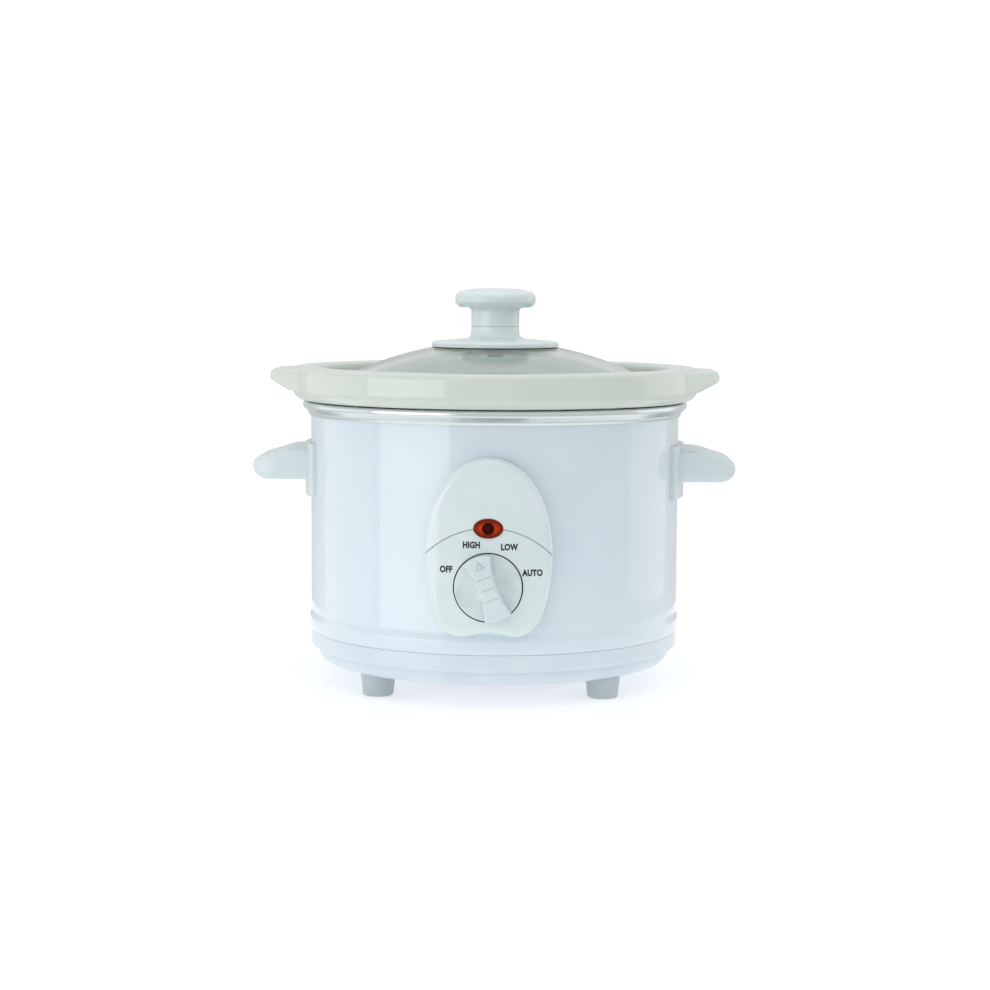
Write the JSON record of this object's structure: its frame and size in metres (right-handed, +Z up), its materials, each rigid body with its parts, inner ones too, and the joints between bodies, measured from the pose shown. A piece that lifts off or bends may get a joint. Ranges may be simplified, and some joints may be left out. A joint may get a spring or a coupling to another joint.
{
  "type": "slow cooker",
  "caption": "Small round electric slow cooker: white steel body, side handles, plastic base on feet, egg-shaped panel with a dial, stoneware crock and domed glass lid with a knob.",
  "frame": {"origin": "on the pot's vertical axis, on the surface that the feet stand on", "axes": "+Z up, -Y towards the control panel at the front, +X towards the right-hand handle as the panel is faced"},
  "size_m": [0.242, 0.2137, 0.1982],
  "materials": {
    "body_enamel": "glossy white stoved enamel on rolled steel",
    "rim_metal": "bright rolled edge, turned finish",
    "well_aluminium": "spun, satin",
    "base_plastic": "smooth white moulding",
    "steel_fixings": "zinc-plated",
    "foot_plastic": "matt pale grey moulding",
    "handle_plastic": "smooth white moulding",
    "panel_plastic": "smooth off-white moulding",
    "lens_plastic": "clear orange-red moulding",
    "lamp_glass": "neon lamp, unlit",
    "switch_plastic": "black moulding",
    "brass_screws": "turned",
    "gland_plastic": "soft white moulding",
    "cream_glaze": "cream glaze on stoneware",
    "lid_clear_glass": "clear tempered glass",
    "seal_rubber": "translucent silicone",
    "knob_plastic": "smooth white moulding",
    "dial_plastic": "smooth white moulding"
  },
  "bodies": {
    "base": {"base_cover": "base_plastic", "base_nut": "steel_fixings", "base_washer": "steel_fixings", "centre_stud": "steel_fixings", "clamp_nut_lower": "steel_fixings", "clamp_nut_upper": "steel_fixings", "clamp_screw_lower": "steel_fixings", "clamp_screw_upper": "steel_fixings", "cord_gland": "gland_plastic", "foot_back_left": "foot_plastic", "foot_back_right": "foot_plastic", "foot_front_left": "foot_plastic", "foot_front_right": "foot_plastic", "foot_screw_back_left": "steel_fixings", "foot_screw_back_right": "steel_fixings", "foot_screw_front_left": "steel_fixings", "foot_screw_front_right": "steel_fixings", "handle_left": "handle_plastic", "handle_plate_left": "steel_fixings", "handle_plate_right": "steel_fixings", "handle_right": "handle_plastic", "handle_screw_left_a": "steel_fixings", "handle_screw_left_b": "steel_fixings", "handle_screw_right_a": "steel_fixings", "handle_screw_right_b": "steel_fixings", "heat_shield": "steel_fixings", "heater_band": "steel_fixings", "heating_well": "well_aluminium", "indicator_lens": "lens_plastic", "lamp_holder": "switch_plastic", "neon_lamp": "lamp_glass", "outer_shell": "body_enamel", "panel_hood": "panel_plastic", "panel_plate": "panel_plastic", "panel_screw_left": "steel_fixings", "panel_screw_right": "steel_fixings", "panel_screw_top": "steel_fixings", "rim_ring": "rim_metal", "rotary_switch": "switch_plastic", "stud_spacer_lower": "steel_fixings", "stud_spacer_upper": "steel_fixings", "switch_nut": "steel_fixings", "terminal_block": "switch_plastic", "terminal_screw_left": "brass_screws", "terminal_screw_right": "brass_screws", "thermal_cutout": "switch_plastic"},
    "crock": {"crock": "cream_glaze"},
    "lid": {"lid_glass": "lid_clear_glass", "knob_seal": "seal_rubber", "knob_base": "knob_plastic", "knob_cap": "knob_plastic", "knob_washer": "steel_fixings", "knob_screw": "steel_fixings"},
    "dial": {"dial_knob": "dial_plastic", "switch_shaft": "steel_fixings"}
  },
  "joints": [
    {"name": "crock_lift", "type": "slide", "parent": "base", "child": "crock", "axis": [0, 0, 1], "range_m": [0, 0.13]},
    {"name": "lid_lift", "type": "slide", "parent": "crock", "child": "lid", "axis": [0, 0, 1], "range_m": [0, 0.12]},
    {"name": "dial_turn", "type": "hinge", "parent": "base", "child": "dial", "pos_m": [0, -0.0985, 0.0596], "axis": [0, 1, 0], "range_deg": [-45, 90]}
  ]
}
